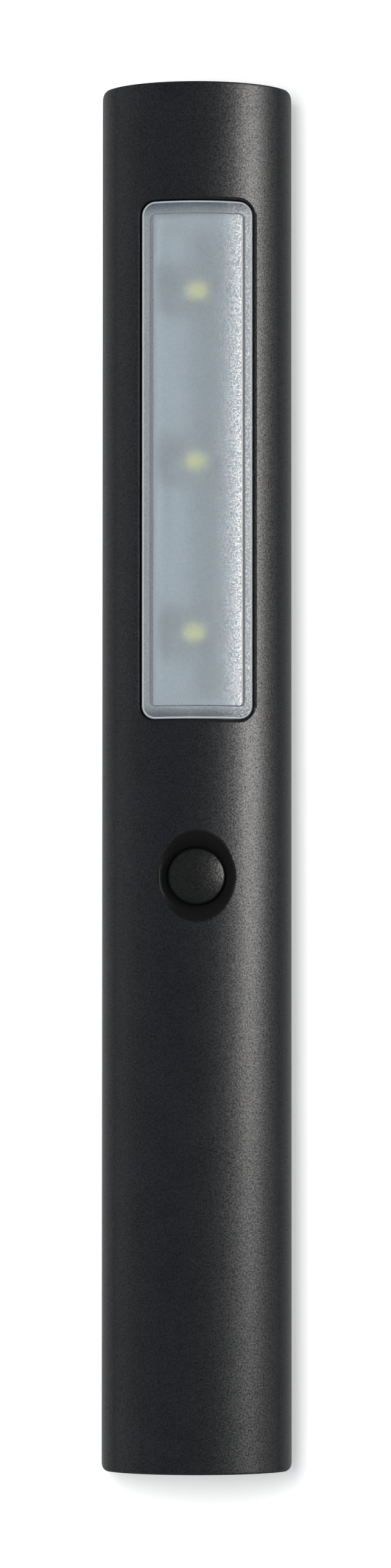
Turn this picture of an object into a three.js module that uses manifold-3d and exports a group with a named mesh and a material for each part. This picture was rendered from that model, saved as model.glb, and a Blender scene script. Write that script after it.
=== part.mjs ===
// Slim stick flashlight: a half-round black housing with a frosted lens over
// three LEDs, a push button in a countersunk recess below the lens, and two AAA cells
// behind a sliding door in the tail.
// Millimetres. X is the width, +Y points to the lamp end, +Z is the lens side,
// and the flat back lies on Z = 0.

import * as THREE from 'three';
import { mergeVertices } from 'three/addons/utils/BufferGeometryUtils.js';
import Module from 'manifold-3d';

const wasm = await Module();
wasm.setup();

// Cells: two AAA side by side, which set the section of the housing
const cellDiameter = 10.5;
const cellLength = 44.5; // with the positive nub
const nubDiameter = 3.8;
const nubHeight = 1;
const cellEdge = 0.5; // rolled edge of the can
const cellGap = 0.3; // round the cells and between them

// Housing
const wall = 1.5;
const endWall = 1.8;
const plateThickness = 2; // back cover and battery door
const sideHeight = 6.8; // flat sides, up to where the half round starts
const cornerRadius = 1; // corners in plan
const edgeBreak = 0.3; // rounded outer edges
const seamGap = 0.2; // between shell, cover and door

// Places along the housing, from the lamp end to the battery bay
const headToLens = 15.65;
const lensToButton = 20.55;
const buttonToBay = 23.8;
const partitionWall = 1.5;

// Fits
const fitGap = 0.3; // between pieces that nest or pass each other
const seatGap = 0.1; // between faces that rest on each other

// Lens and the frame that it is set in
const lensLength = 67.9;
const lensWidth = 14.5;
const lensCorner = 1.75;
const lensThickness = 1.3;
const lensSink = 0.3; // border of the lens below the housing's surface
const lensGap = 0.2;
const panelSideInset = 1.35;
const panelEndInset = 1.7;
const panelCorner = 0.4;
const panelRise = 0.25;
const ledgeWidth = 1.2;
const ledgeThickness = 1.2;
const frameWall = 1.5;

// Push button
const buttonDiameter = 7.46;
const buttonGap = 0.2;
const buttonBelowCrown = 0.1;
const domeRise = 1.4;
const buttonTravel = 1.5;
const recessDepth = 2.1; // foot of the countersink below the crown
const recessSlope = 1; // run for each mm of depth, so a 90 degree countersink
const collarWall = 1.2;
const collarLip = 1.1; // straight part of the hole below the countersink
const flangeReach = 0.9;
const flangeThickness = 0.7;
const socketDepth = 1.5;

// Push switch
const switchSize = 7;
const switchFloor = 0.6;
const stemSize = 2.4;
const footReach = 0.5;
const footThickness = 0.8;
const switchSheet = 0.3;
const clipDrop = 1.6;

// Board and what is soldered to it
const boardSide = 0.3; // past the tray's flange, each side
const boardThickness = 1;
const boardCorner = 0.8;
const boardMargin = 1; // past the head screw post
const boardPastButton = 9.5;
const firstLed = 10.9; // below the upper edge of the lens
const ledPitch = 22.6;
const ledStart = 0.1; // first LED right of the middle
const ledDrift = 0.19; // each next LED is soldered this much further left
const ledCount = 3;
const ledWidth = 3.5;
const ledLength = 2.8;
const ledHeight = 0.7;
const ledRim = 0.4;
const ledWell = 0.15;
const resistorWidth = 0.8;
const resistorLength = 1.6;
const resistorHeight = 0.45;
const resistorCap = 0.35; // length of each end cap
const capStep = 0.1; // how far the end caps stand proud
const resistorGap = 0.45; // to the side of its LED
const resistorDrop = 0.9; // below the middle of its LED
const chipWidth = 2.9;
const chipLength = 1.6;
const chipHeight = 1.1;
const legWidth = 0.4;
const legReach = 0.6;
const legThickness = 0.2;
const legPitch = 0.95;
const inductorDiameter = 4.4;
const inductorCore = 2.4;
const inductorHeight = 2;
const inductorDisc = 0.55;
const driverX = 3.2; // chip and inductor, each side of the middle

// Reflector tray
const trayFlange = 0.45; // past the lens opening, under the frame
const trayWall = 0.6;
const trayFlare = 1.2;

// Screws and their posts
const threadDiameter = 1.9;
const threadGap = 0.15;
const coverThread = 8;
const boardThread = 6.5;
const headDiameter = 4;
const headRound = 0.4; // rounded edge of a screw's head
const coverHead = 0.9;
const boardHead = 1.4;
const counterbore = 1.1;
const crossLength = 2.2;
const crossWidth = 0.5;
const crossDepth = 0.5;
const postRadius = 2.2;
const postInset = 0.4; // between a post and the wall beside it

// Contacts, springs and wires
const sheet = 0.4;
const plateMargin = 0.75; // contact plate inside the cell's diameter, each side
const plateTrim = 1.75; // the same, above and below
const plateCorner = 0.8;
const tabWidth = 2.5;
const tabShift = 1.9;
const tabReach = 3;
const lipThickness = 0.6;
const lipOverlap = 0.6;
const lipHalfHeight = 2.5;
const springLength = 5;
const springWire = 0.6;
const springTip = 2;
const springTurns = 4;
const wireDiameter = 1.2;
const wireOnBoard = 3;

// Battery door: rails in grooves of the housing's side walls
const railWeb = 0.7;
const railGap = 0.2;
const railFlange = 0.65;
const railLedge = 0.7;
const grooveDepth = 0.7;
const tongueWidth = 4;
const tongueLength = 2;
const tongueThickness = 0.8;
const gripCount = 5;
const gripLength = 12;
const gripWidth = 0.9;
const gripCorner = 0.4;
const gripDepth = 0.5;
const gripPitch = 1.9;
const gripFromTail = 7;

// Inside of the cover, and ribs that hold the cells
const rimThickness = 1;
const rimHeight = 1.6;
const ribCount = 3;
const ribThickness = 1.2;

// Facets
const archSteps = 15; // each half round has twice as many
const cornerSteps = 3; // each rounded corner has twice as many
const roundSides = 16; // screws and posts
const fineSides = 36; // button, recess and cells
const domeSteps = 5;
const past = 2; // how far cutters run past what they cut

// Section of the housing, worked out from the cells
const cellRadius = cellDiameter / 2;
const cellX = cellRadius + cellGap / 2;
const cellZ = plateThickness + cellGap + cellRadius;
const innerRadius = Math.hypot(cellX, cellZ - sideHeight) + cellRadius + cellGap;
const outerRadius = innerRadius + wall;
const bodyWidth = 2 * outerRadius;
const bodyHeight = sideHeight + outerRadius;
const shellBottom = plateThickness + seamGap;

// Places along Y
const bayLength = 4 * seatGap + 2 * sheet + springLength + cellLength;
const lampLength = headToLens + lensLength + lensToButton + buttonToBay;
const bodyLength = lampLength + partitionWall + bayLength + endWall;
const headEnd = bodyLength / 2;
const tailEnd = -bodyLength / 2;
const headInner = headEnd - endWall;
const tailInner = tailEnd + endWall;
const lensTop = headEnd - headToLens;
const lensY = lensTop - lensLength / 2;
const lensBottom = lensTop - lensLength;
const buttonY = lensBottom - lensToButton;
const partitionHead = buttonY - buttonToBay;
const partitionTail = partitionHead - partitionWall;
const splitY = (partitionHead + partitionTail) / 2;
const bridgeFace = tailInner + seatGap + sheet;
const headFace = partitionTail - seatGap - sheet;

// Heights, from the crown down through the button and switch to the board
const holeRadius = buttonDiameter / 2 + buttonGap;
const recessFloor = bodyHeight - recessDepth;
const collarBottom = recessFloor - collarLip;
const recessRadius = holeRadius + recessDepth * recessSlope;
const collarRadius = recessRadius + collarWall;
const capBottom = collarBottom - seatGap - flangeThickness;
const capTop = bodyHeight - buttonBelowCrown;
const switchTop = capBottom - buttonTravel - fitGap;
const switchBodyTop = switchTop - switchSheet - seatGap;
const wellDepth = buttonTravel + footThickness + 2 * seatGap;
const switchBottom = switchBodyTop - wellDepth - switchFloor;
const boardTop = switchBottom - seatGap;
const boardBottom = boardTop - boardThickness;

// Radii of the lens and its frame about the axis of the half round
const lensOuter = outerRadius - lensSink;
const lensInner = lensOuter - lensThickness;
const ledgeRadius = lensInner - seatGap;
const frameRadius = ledgeRadius - ledgeThickness;
const frameReach = lensGap + frameWall;

// Width of the board, under the tray's flange
const boardWidth = lensWidth + 2 * (trayFlange - ledgeWidth + boardSide);

// Screw posts
const coverPostX = innerRadius - postInset - postRadius;
const coverPostYs = [headInner - postInset - postRadius, partitionHead + postInset + postRadius];
const postStep = frameReach + postInset + postRadius;
const boardPostYs = [lensTop + postStep, lensBottom - postStep];
const pilotRadius = threadDiameter / 2 + threadGap;

// Contacts
const contactWidth = cellDiameter - 2 * plateMargin;
const contactTop = cellZ + cellRadius - plateTrim;
const contactHeight = cellDiameter - 2 * plateTrim;
const springBase = contactWidth / 2 - lipOverlap - fitGap - springWire / 2;
const tabX = cellX - tabShift;

// Door rails
const railOuter = innerRadius - railGap;
const railInner = railOuter - railWeb;
const grooveOuter = innerRadius + grooveDepth;
const grooveBottom = shellBottom + railLedge;
const flangeBottom = grooveBottom + railGap;
const flangeTop = flangeBottom + railFlange;
const grooveTop = flangeTop + railGap;
const tongueBottom = plateThickness + seamGap;
const tongueTop = tongueBottom + tongueThickness;

// A closed three.js geometry as a solid that can be joined and cut. Points on
// a lathe's axis squash triangles to lines, and those are dropped.
function solid(geometry) {
  geometry.deleteAttribute('normal');
  geometry.deleteAttribute('uv');
  const merged = mergeVertices(geometry);
  const index = merged.index.array;
  const triangles = [];
  for (let i = 0; i < index.length; i += 3) {
    const [a, b, c] = [index[i], index[i + 1], index[i + 2]];
    if (a !== b && b !== c && c !== a) triangles.push(a, b, c);
  }
  const mesh = new wasm.Mesh({
    numProp: 3,
    vertProperties: new Float32Array(merged.attributes.position.array),
    triVerts: new Uint32Array(triangles),
  });
  return new wasm.Manifold(mesh);
}

// A solid as a named mesh
function piece(name, shape, material, x = 0, y = 0, z = 0) {
  const result = shape.getMesh();
  const geometry = new THREE.BufferGeometry();
  const positions = Float32Array.from(result.vertProperties);
  geometry.setAttribute('position', new THREE.BufferAttribute(positions, 3));
  geometry.setIndex(new THREE.BufferAttribute(Uint32Array.from(result.triVerts), 1));
  geometry.computeVertexNormals();
  const mesh = new THREE.Mesh(geometry, material);
  mesh.name = name;
  mesh.position.set(x, y, z);
  return mesh;
}

function finish(color, roughness, metalness = 0) {
  return new THREE.MeshStandardMaterial({ color, roughness, metalness });
}

function extrudeOptions(length, edge, curveSegments) {
  return {
    depth: length - 2 * edge,
    curveSegments,
    bevelEnabled: edge > 0,
    bevelThickness: edge,
    bevelSize: edge,
    bevelOffset: -edge,
    bevelSegments: 2,
  };
}

// Outline in X and Z, extruded along Y
function alongY(shape, from, to, curveSegments, edge = 0) {
  const geometry = new THREE.ExtrudeGeometry(shape, extrudeOptions(to - from, edge, curveSegments));
  geometry.rotateX(Math.PI / 2);
  geometry.translate(0, to - edge, 0);
  return solid(geometry);
}

// Outline in X and Y, extruded along Z
function alongZ(shape, from, to, curveSegments, edge = 0) {
  const geometry = new THREE.ExtrudeGeometry(shape, extrudeOptions(to - from, edge, curveSegments));
  geometry.translate(0, 0, from + edge);
  return solid(geometry);
}

// Half round on straight sides, about the housing's own axis
function archShape(radius, bottom) {
  const shape = new THREE.Shape();
  shape.moveTo(-radius, bottom);
  shape.lineTo(radius, bottom);
  shape.lineTo(radius, sideHeight);
  shape.absarc(0, sideHeight, radius, 0, Math.PI, false);
  shape.closePath();
  return shape;
}

function arch(radius, from, to) {
  return alongY(archShape(radius, -past), from, to, archSteps);
}

// Curved wall between two radii
function archWall(inner, outer, from, to) {
  return arch(outer, from, to).subtract(arch(inner, from - past, to + past));
}

function roundedRectangle(width, height, radius, x = 0, y = 0) {
  const right = width / 2;
  const top = height / 2;
  const shape = new THREE.Shape();
  shape.moveTo(x - right + radius, y - top);
  shape.absarc(x + right - radius, y - top + radius, radius, -Math.PI / 2, 0, false);
  shape.absarc(x + right - radius, y + top - radius, radius, 0, Math.PI / 2, false);
  shape.absarc(x - right + radius, y + top - radius, radius, Math.PI / 2, Math.PI, false);
  shape.absarc(x - right + radius, y - top + radius, radius, Math.PI, 1.5 * Math.PI, false);
  shape.closePath();
  return shape;
}

// Upright block with rounded corners in plan
function planBlock(width, length, radius, y, from, to, edge = 0) {
  return alongZ(roundedRectangle(width, length, radius, 0, y), from, to, cornerSteps, edge);
}

// Box given by its limits along X, Y and Z
function box([x0, x1], [y0, y1], [z0, z1]) {
  const geometry = new THREE.BoxGeometry(x1 - x0, y1 - y0, z1 - z0);
  geometry.translate((x0 + x1) / 2, (y0 + y1) / 2, (z0 + z1) / 2);
  return solid(geometry);
}

// Upright round post
function post(radius, x, y, from, to, sides = roundSides) {
  const geometry = new THREE.CylinderGeometry(radius, radius, to - from, sides);
  geometry.rotateX(Math.PI / 2);
  geometry.translate(x, y, (from + to) / 2);
  return solid(geometry);
}

// Body turned about the Z axis, from [radius, height] pairs, lowest first
function turned(profile, sides = roundSides) {
  const points = profile.map(([radius, height]) => new THREE.Vector2(radius, height));
  const geometry = new THREE.LatheGeometry(points, sides);
  geometry.rotateX(Math.PI / 2);
  return solid(geometry);
}

function ringShape(radius, sides) {
  const points = [];
  for (let i = 0; i < sides; i += 1) {
    const angle = (2 * Math.PI * i) / sides;
    points.push(new THREE.Vector2(radius * Math.cos(angle), radius * Math.sin(angle)));
  }
  return new THREE.Shape(points);
}

function join(parts) {
  return parts.reduce((sum, part) => sum.add(part));
}

function cut(body, cutters) {
  return cutters.reduce((rest, cutter) => rest.subtract(cutter), body);
}

const bothSides = [-1, 1];

// Limits of a range and its mirror image about the middle
function mirrored(from, to, side) {
  return side > 0 ? [from, to] : [-to, -from];
}

// Outside of the closed flashlight: a block rounded in plan, under a half-round
// crown whose end edges are rounded. The rounding starts past the end faces, so
// that these cut it cleanly.
function envelope() {
  const block = planBlock(bodyWidth, bodyLength, cornerRadius, 0, 0, bodyHeight + past, edgeBreak);
  const shape = new THREE.Shape();
  shape.moveTo(-bodyWidth, -past);
  shape.lineTo(bodyWidth, -past);
  shape.lineTo(bodyWidth, sideHeight);
  shape.lineTo(outerRadius, sideHeight);
  shape.absarc(0, sideHeight, outerRadius, 0, Math.PI, false);
  shape.lineTo(-bodyWidth, sideHeight);
  shape.closePath();
  const start = edgeBreak / 3;
  const crown = alongY(shape, tailEnd - start, headEnd + start, archSteps, edgeBreak + start);
  return block.intersect(crown);
}

const wide = [-bodyWidth, bodyWidth];
const outside = envelope();

// Outline of the lens, wider or narrower by a margin
function lensBlock(margin, from, to) {
  const width = lensWidth + 2 * margin;
  const length = lensLength + 2 * margin;
  return planBlock(width, length, lensCorner + margin, lensY, from, to);
}

// Front shell: half-round housing, open at the back
function lensFrame() {
  const reach = frameReach + past;
  const ring = archWall(frameRadius, innerRadius + wall / 2, lensBottom - reach, lensTop + reach);
  return ring.intersect(lensBlock(frameReach, sideHeight, bodyHeight));
}

function cellRibs() {
  const ribs = [];
  const cellEnd = headFace - seatGap;
  for (let i = 1; i <= ribCount; i += 1) {
    const y = cellEnd - (cellLength * (i - 0.5)) / ribCount;
    ribs.push(box(wide, [y - ribThickness / 2, y + ribThickness / 2], [cellZ, bodyHeight]));
  }
  const bores = bothSides.map((side) => {
    const radius = cellRadius + cellGap;
    const bore = new THREE.CylinderGeometry(radius, radius, bayLength, fineSides);
    bore.translate(side * cellX, (tailInner + partitionTail) / 2, cellZ);
    return solid(bore);
  });
  return cut(join(ribs), bores);
}

// Slots that the contact plates slide into
function contactSlots() {
  const heights = [cellZ - lipHalfHeight, cellZ + lipHalfHeight];
  const outerEdge = cellX + contactWidth / 2;
  const innerEdge = cellX - contactWidth / 2;
  const tailLip = [bridgeFace + seatGap, bridgeFace + seatGap + lipThickness];
  const headLip = [headFace - seatGap - lipThickness, headFace - seatGap];
  const slots = [];
  bothSides.forEach((side) => {
    const web = mirrored(outerEdge + fitGap, outerRadius, side);
    const lip = mirrored(outerEdge - lipOverlap, outerRadius, side);
    slots.push(box(web, [tailEnd, tailLip[1]], heights), box(lip, tailLip, heights));
    slots.push(box(web, [headLip[0], partitionHead], heights), box(lip, headLip, heights));
  });
  const middleWeb = innerEdge - fitGap;
  const middleLip = innerEdge + lipOverlap;
  slots.push(box([-middleWeb, middleWeb], [headLip[0], partitionHead], heights));
  slots.push(box([-middleLip, middleLip], headLip, heights));
  return join(slots);
}

// Countersink round the button's hole, run on past the crown: its rim on the half round is an oval
function buttonRecess() {
  const height = recessDepth + past;
  const rim = recessRadius + past * recessSlope;
  const geometry = new THREE.CylinderGeometry(rim, holeRadius, height, fineSides);
  geometry.rotateX(Math.PI / 2);
  geometry.translate(0, buttonY, recessFloor + height / 2);
  return solid(geometry);
}

function frontShell() {
  const skin = outside.intersect(box(wide, [2 * tailEnd, 2 * headEnd], [shellBottom, bodyHeight + past]));
  const hollow = skin.subtract(arch(innerRadius, tailInner, headInner));

  const inside = [lensFrame(), cellRibs(), contactSlots()];
  inside.push(post(collarRadius, 0, buttonY, collarBottom, bodyHeight));
  inside.push(box(wide, [partitionTail, partitionHead], [tongueTop + fitGap, bodyHeight]));
  boardPostYs.forEach((y) => inside.push(post(postRadius, 0, y, boardTop + seatGap, bodyHeight)));
  coverPostYs.forEach((y) => {
    bothSides.forEach((side) => {
      inside.push(post(postRadius, side * coverPostX, y, plateThickness + seatGap, bodyHeight));
    });
  });
  const core = arch(innerRadius + wall / 2, tailInner - endWall / 2, headInner + endWall / 2);
  const body = hollow.add(join(inside).intersect(core));

  const pocket = archWall(ledgeRadius, outerRadius + past, lensBottom - past, lensTop + past);
  const cutters = [pocket.intersect(lensBlock(lensGap, sideHeight, bodyHeight + past))];
  cutters.push(lensBlock(-ledgeWidth, sideHeight, bodyHeight + past));

  cutters.push(buttonRecess());
  cutters.push(post(holeRadius, 0, buttonY, collarBottom - past, recessFloor + edgeBreak, fineSides));

  const boardPilot = boardTop + boardThread;
  boardPostYs.forEach((y) => cutters.push(post(pilotRadius, 0, y, boardBottom, boardPilot)));
  const coverPilot = counterbore + coverThread + fitGap;
  coverPostYs.forEach((y) => {
    bothSides.forEach((side) => cutters.push(post(pilotRadius, side * coverPostX, y, 0, coverPilot)));
  });

  const slotHeights = [contactTop - sheet - fitGap, contactTop + fitGap];
  bothSides.forEach((side) => {
    const tab = mirrored(tabX - tabWidth / 2 - fitGap, tabX + tabWidth / 2 + fitGap, side);
    cutters.push(box(tab, [partitionTail - past, partitionHead + past], slotHeights));
    const groove = mirrored(innerRadius - fitGap, grooveOuter, side);
    cutters.push(box(groove, [tailEnd - past, partitionTail], [grooveBottom, grooveTop]));
    const notch = mirrored(railInner - railGap, grooveOuter, side);
    cutters.push(box(notch, [tailEnd - past, tailInner + seatGap], [0, grooveTop]));
  });
  return cut(body, cutters);
}

// Frosted lens, curved with the housing, with a raised panel
function lens() {
  const border = archWall(lensInner, lensOuter, lensBottom - past, lensTop + past);
  const raised = archWall(lensInner, lensOuter + panelRise, lensBottom - past, lensTop + past);
  const panelWidth = lensWidth - 2 * panelSideInset;
  const panelLength = lensLength - 2 * panelEndInset;
  const panel = planBlock(panelWidth, panelLength, panelCorner, lensY, sideHeight, bodyHeight + past);
  return border.intersect(lensBlock(0, sideHeight, bodyHeight + past)).add(raised.intersect(panel));
}

// Back cover: plate with a rim inside the shell and four counterbored holes
function backCover() {
  const start = splitY + seamGap / 2;
  const plate = outside.intersect(box(wide, [start, headEnd + past], [-past, plateThickness]));

  const rimTail = start + tongueLength + fitGap;
  const rimHead = headInner - fitGap;
  const rimWidth = 2 * (innerRadius - fitGap);
  const rimY = (rimHead + rimTail) / 2;
  const rimTop = plateThickness + rimHeight;
  const rimLength = rimHead - rimTail;
  const rim = planBlock(rimWidth, rimLength, edgeBreak, rimY, plateThickness - seatGap, rimTop);
  const hollowWidth = rimWidth - 2 * rimThickness;
  const hollowLength = rimLength - 2 * rimThickness;
  const hollow = planBlock(hollowWidth, hollowLength, edgeBreak, rimY, 0, rimTop + past);

  const cutters = [];
  const clears = [hollow];
  coverPostYs.forEach((y) => {
    bothSides.forEach((side) => {
      const x = side * coverPostX;
      clears.push(post(postRadius + fitGap, x, y, 0, rimTop + past));
      cutters.push(post(headDiameter / 2 + threadGap, x, y, -past, counterbore));
      cutters.push(post(pilotRadius, x, y, -past, plateThickness + past));
    });
  });
  return cut(plate.add(cut(rim, clears)), cutters);
}

// Battery door: plate with a rail on each side, a tongue and thumb grooves
function batteryDoor() {
  const end = splitY - seamGap / 2;
  const parts = [box(wide, [tailEnd - past, end], [-past, plateThickness])];
  bothSides.forEach((side) => {
    const railY = [tailEnd - past, partitionTail - seatGap];
    parts.push(box(mirrored(railInner, railOuter, side), railY, [0, flangeTop]));
    parts.push(box(mirrored(railInner, grooveOuter - railGap, side), railY, [flangeBottom, flangeTop]));
  });
  const tongueX = [-tongueWidth / 2, tongueWidth / 2];
  parts.push(box(tongueX, [partitionTail, end], [0, tongueTop]));
  parts.push(box(tongueX, [partitionTail, end + tongueLength], [tongueBottom, tongueTop]));
  const door = join(parts).intersect(outside);

  const grips = [];
  for (let i = 0; i < gripCount; i += 1) {
    const y = tailEnd + gripFromTail + i * gripPitch;
    grips.push(planBlock(gripLength, gripWidth, gripCorner, y, -past, gripDepth));
  }
  return cut(door, grips);
}

// Board: long strip with two screw holes, notched round the cover's posts
function mainBoard() {
  const head = boardPostYs[0] + postRadius + boardMargin;
  const tail = buttonY - boardPastButton;
  const strip = planBlock(boardWidth, head - tail, boardCorner, (head + tail) / 2, boardBottom, boardTop);
  const cutters = boardPostYs.map((y) => post(pilotRadius, 0, y, boardBottom - past, boardTop + past));
  coverPostYs.forEach((y) => {
    bothSides.forEach((side) => {
      cutters.push(post(postRadius + fitGap, side * coverPostX, y, boardBottom - past, boardTop + past));
    });
  });
  return cut(strip, cutters);
}

// Surface-mount LED: white frame round a sunk phosphor window
function ledPackage() {
  const body = planBlock(ledWidth, ledLength, edgeBreak, 0, 0, ledHeight);
  const windowWidth = ledWidth - 2 * ledRim;
  const windowLength = ledLength - 2 * ledRim;
  const floor = ledHeight - ledWell;
  return body.subtract(planBlock(windowWidth, windowLength, edgeBreak, 0, floor, ledHeight + past));
}

// Chip resistor with an end cap at each end
function chipResistor() {
  const end = resistorLength / 2;
  const half = resistorWidth / 2;
  const inset = capStep / 2;
  const body = box([inset - half, half - inset], [-end, end], [0, resistorHeight - capStep]);
  const caps = bothSides.map((side) => {
    return box([-half, half], mirrored(end - resistorCap, end, side), [0, resistorHeight]);
  });
  return join([body, ...caps]);
}

// Driver chip: moulded body, two legs on one side and three on the other
function driverChip() {
  const half = chipLength / 2;
  const parts = [box([-chipWidth / 2, chipWidth / 2], [-half, half], [legThickness / 2, chipHeight])];
  const along = [half - legThickness, half + legReach];
  [-1, 0, 1].forEach((place) => {
    const across = [place * legPitch - legWidth / 2, place * legPitch + legWidth / 2];
    parts.push(box(across, mirrored(...along, -1), [0, legThickness]));
    if (place !== 0) parts.push(box(across, along, [0, legThickness]));
  });
  return join(parts);
}

// Drum inductor: core between two discs
function drumInductor() {
  const disc = inductorDiameter / 2;
  const core = inductorCore / 2;
  const upper = inductorHeight - inductorDisc;
  return turned([
    [0, 0],
    [disc, 0],
    [disc, inductorDisc],
    [core, inductorDisc],
    [core, upper],
    [disc, upper],
    [disc, inductorHeight],
    [0, inductorHeight],
  ]);
}

// Reflector tray: sloped white walls round the LEDs, open to the board
function reflectorTray() {
  const floor = boardTop + seatGap;
  const openHalf = lensWidth / 2 - ledgeWidth;
  const flangeHalf = openHalf + trayFlange;
  const rimHalf = openHalf - fitGap;
  const flangeLevel = sideHeight + Math.sqrt(frameRadius ** 2 - flangeHalf ** 2) - fitGap;
  const rimLevel = sideHeight + Math.sqrt(lensInner ** 2 - rimHalf ** 2) - fitGap;
  const flange = lensBlock(trayFlange - ledgeWidth, floor, flangeLevel);
  const rim = lensBlock(-ledgeWidth - fitGap, floor, rimLevel);

  const floorInset = ledgeWidth + fitGap + trayWall + trayFlare;
  const floorWidth = lensWidth - 2 * floorInset;
  const floorLength = lensLength - 2 * floorInset;
  const floorShape = roundedRectangle(floorWidth, floorLength, edgeBreak, 0, lensY);
  const slope = new THREE.ExtrudeGeometry(floorShape, {
    depth: past,
    curveSegments: cornerSteps,
    bevelThickness: rimLevel - floor,
    bevelSize: trayFlare,
    bevelSegments: 1,
  });
  slope.translate(0, 0, rimLevel);
  const drain = alongZ(floorShape, floor - past, floor + edgeBreak, cornerSteps);
  return cut(flange.add(rim), [solid(slope), drain]);
}

// Push switch: moulded base with a well for the plunger's foot
const footSize = stemSize + 2 * footReach;
const switchHalf = switchSize / 2;
const switchHeight = switchBodyTop - switchBottom;

function switchBody() {
  const base = planBlock(switchSize, switchSize, edgeBreak, 0, 0, switchHeight);
  const wellHalf = footSize / 2 + fitGap;
  return base.subtract(box([-wellHalf, wellHalf], [-wellHalf, wellHalf], [switchFloor, switchHeight + past]));
}

// Sheet cover of the switch, with a clip bent down on each side
function switchCover() {
  const from = switchHeight + seatGap;
  const clipInner = switchHalf + seatGap;
  const clipOuter = clipInner + switchSheet;
  const clipWidth = [-switchHalf / 2, switchHalf / 2];
  const top = box([-clipOuter, clipOuter], [-switchHalf, switchHalf], [from, from + switchSheet]);
  const clips = bothSides.map((side) => {
    return box(mirrored(clipInner, clipOuter, side), clipWidth, [from - clipDrop, from + switchSheet]);
  });
  const hole = stemSize / 2 + fitGap;
  return join([top, ...clips]).subtract(box([-hole, hole], [-hole, hole], [0, from + past]));
}

// Plunger: square stem with a foot, measured from the underside of the cap
function switchPlunger() {
  const stemHalf = stemSize / 2;
  const footHalf = footSize / 2;
  const footTop = switchBodyTop - seatGap - capBottom;
  const footBottom = footTop - footThickness;
  const stem = box([-stemHalf, stemHalf], [-stemHalf, stemHalf], [footBottom, socketDepth - seatGap]);
  const foot = box([-footHalf, footHalf], [-footHalf, footHalf], [footBottom, footTop]);
  return stem.add(foot);
}

// Button: domed cap with a flange that the collar holds in
function buttonCap() {
  const radius = buttonDiameter / 2;
  const flange = holeRadius + flangeReach;
  const top = capTop - capBottom;
  const shoulder = top - domeRise;
  const domeRadius = (radius ** 2 + domeRise ** 2) / (2 * domeRise);
  const domeAngle = Math.asin(radius / domeRadius);
  const profile = [[0, 0], [flange, 0], [flange, flangeThickness], [radius, flangeThickness]];
  for (let i = 0; i < domeSteps; i += 1) {
    const angle = domeAngle * (1 - i / domeSteps);
    profile.push([domeRadius * Math.sin(angle), shoulder + domeRise - domeRadius * (1 - Math.cos(angle))]);
  }
  profile.push([0, top]);
  const socket = stemSize / 2 + seatGap;
  const hole = box([-socket, socket], [-socket, socket], [-past, socketDepth]);
  return turned(profile, fineSides).subtract(hole);
}

// AAA cell along +Y from its flat end
function cell() {
  const can = cellLength - nubHeight;
  const nub = nubDiameter / 2;
  return turned([
    [0, 0],
    [cellRadius - cellEdge, 0],
    [cellRadius, cellEdge],
    [cellRadius, can - cellEdge],
    [cellRadius - cellEdge, can],
    [nub, can],
    [nub, cellLength - seatGap],
    [nub - seatGap, cellLength],
    [0, cellLength],
  ], fineSides).rotate([-90, 0, 0]);
}

// Contact plate in X and Z, with rounded corners
function contactPlate(width, x, from, to) {
  const shape = roundedRectangle(width, contactHeight, plateCorner, x, contactTop - contactHeight / 2);
  return alongY(shape, from, to, cornerSteps);
}

function headContact(side) {
  const plate = contactPlate(contactWidth, side * cellX, headFace, headFace + sheet);
  const tab = mirrored(tabX - tabWidth / 2, tabX + tabWidth / 2, side);
  return plate.add(box(tab, [headFace, partitionHead + tabReach], [contactTop - sheet, contactTop]));
}

function bridgeContact() {
  return contactPlate(2 * cellX + contactWidth, 0, bridgeFace - sheet, bridgeFace);
}

// Conical contact spring along +Y, wide at its plate and narrow at the cell
class SpringCurve extends THREE.Curve {
  getPoint(t) {
    const radius = springBase + (springTip - springBase) * t;
    const angle = 2 * Math.PI * springTurns * t;
    const coilLength = springLength - seatGap - springWire;
    const along = springWire / 2 + coilLength * t;
    return new THREE.Vector3(radius * Math.cos(angle), along, radius * Math.sin(angle));
  }
}

const curlSteps = 8;
const curlSides = 5;

function contactSpring() {
  const options = { steps: springTurns * curlSteps, extrudePath: new SpringCurve(), bevelEnabled: false };
  return solid(new THREE.ExtrudeGeometry(ringShape(springWire / 2, curlSides), options));
}

// Least gap between the turns of the spring, on points half a turn or more apart
function springSelfGap() {
  const perTurn = 6 * curlSteps;
  const points = new SpringCurve().getPoints(springTurns * perTurn);
  let least = Infinity;
  for (let i = 0; i < points.length; i += 1) {
    for (let j = i + perTurn / 2; j < points.length; j += 1) {
      least = Math.min(least, points[i].distanceTo(points[j]));
    }
  }
  return least - springWire;
}

console.log(`contact spring, least gap to itself: ${springSelfGap().toFixed(2)} mm`);

// Insulated wire from a contact's tab to the end of the board
const wireSides = 8;
const wireSteps = 12;

function leadWire(side) {
  const half = wireDiameter / 2;
  const x = side * tabX;
  const overTab = contactTop + seatGap + half;
  const overBoard = boardTop + seatGap + half;
  const tabEnd = partitionHead + tabReach;
  const boardEnd = buttonY - boardPastButton;
  const route = new THREE.CatmullRomCurve3([
    new THREE.Vector3(x, partitionHead + fitGap, overTab),
    new THREE.Vector3(x, tabEnd, overTab),
    new THREE.Vector3(x, (tabEnd + boardEnd) / 2, (overTab + overBoard) / 2 + half),
    new THREE.Vector3(x, boardEnd - half, overBoard + half / 2),
    new THREE.Vector3(x, boardEnd + wireOnBoard, overBoard),
  ]);
  const options = { steps: wireSteps, extrudePath: route, bevelEnabled: false };
  return solid(new THREE.ExtrudeGeometry(ringShape(half, wireSides), options));
}

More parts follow.
